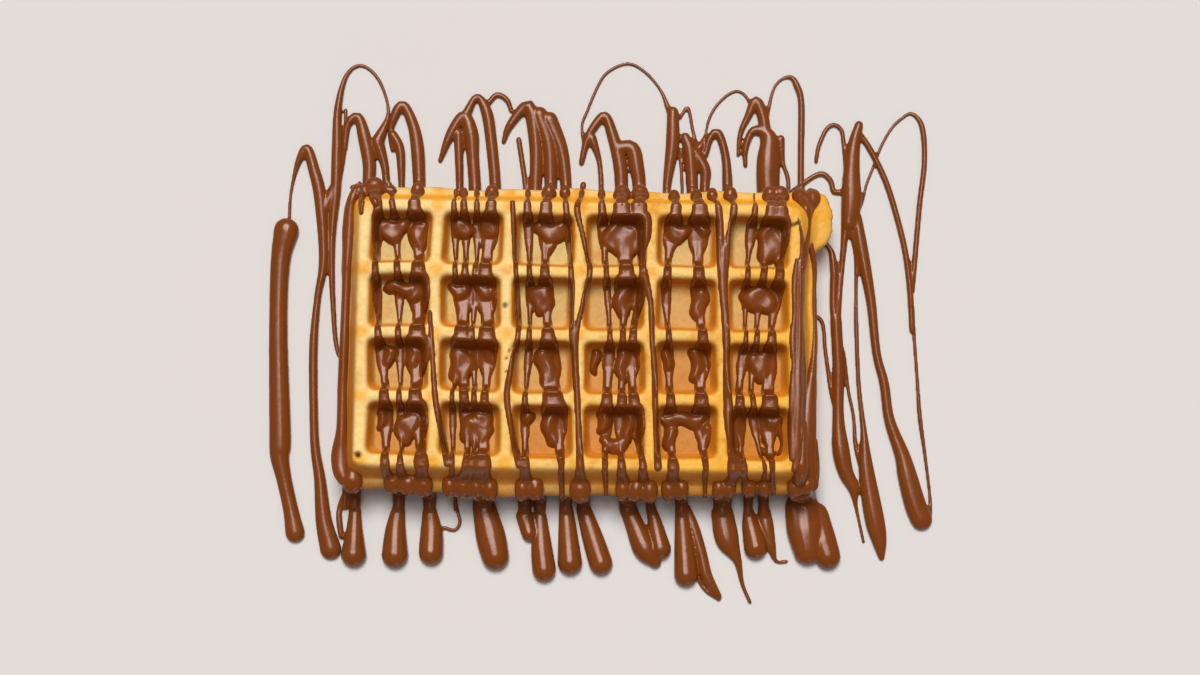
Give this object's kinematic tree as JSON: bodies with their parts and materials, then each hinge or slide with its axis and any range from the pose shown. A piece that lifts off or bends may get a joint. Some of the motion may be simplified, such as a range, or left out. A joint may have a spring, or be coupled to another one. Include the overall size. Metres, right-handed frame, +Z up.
{
  "type": "waffle with melted chocolate",
  "caption": "Rectangular deep-pocket baked waffle with milk chocolate poured back and forth over it, its loops and drops set flat around it; a food prop that rests on a table.",
  "frame": {"origin": "middle of the waffle's underside, on a crossing of two ridges, at the level of the surface that it rests on", "axes": "+X along the waffle's long side to its right, +Y along its short side to its back, +Z up"},
  "size_m": [0.2613, 0.2145, 0.03],
  "materials": {
    "baked_waffle": "golden baked batter, matt, with pores and browner walls",
    "milk_chocolate": "glossy melted milk chocolate"
  },
  "bodies": {
    "root": {"waffle": "baked_waffle"}
  },
  "joints": []
}
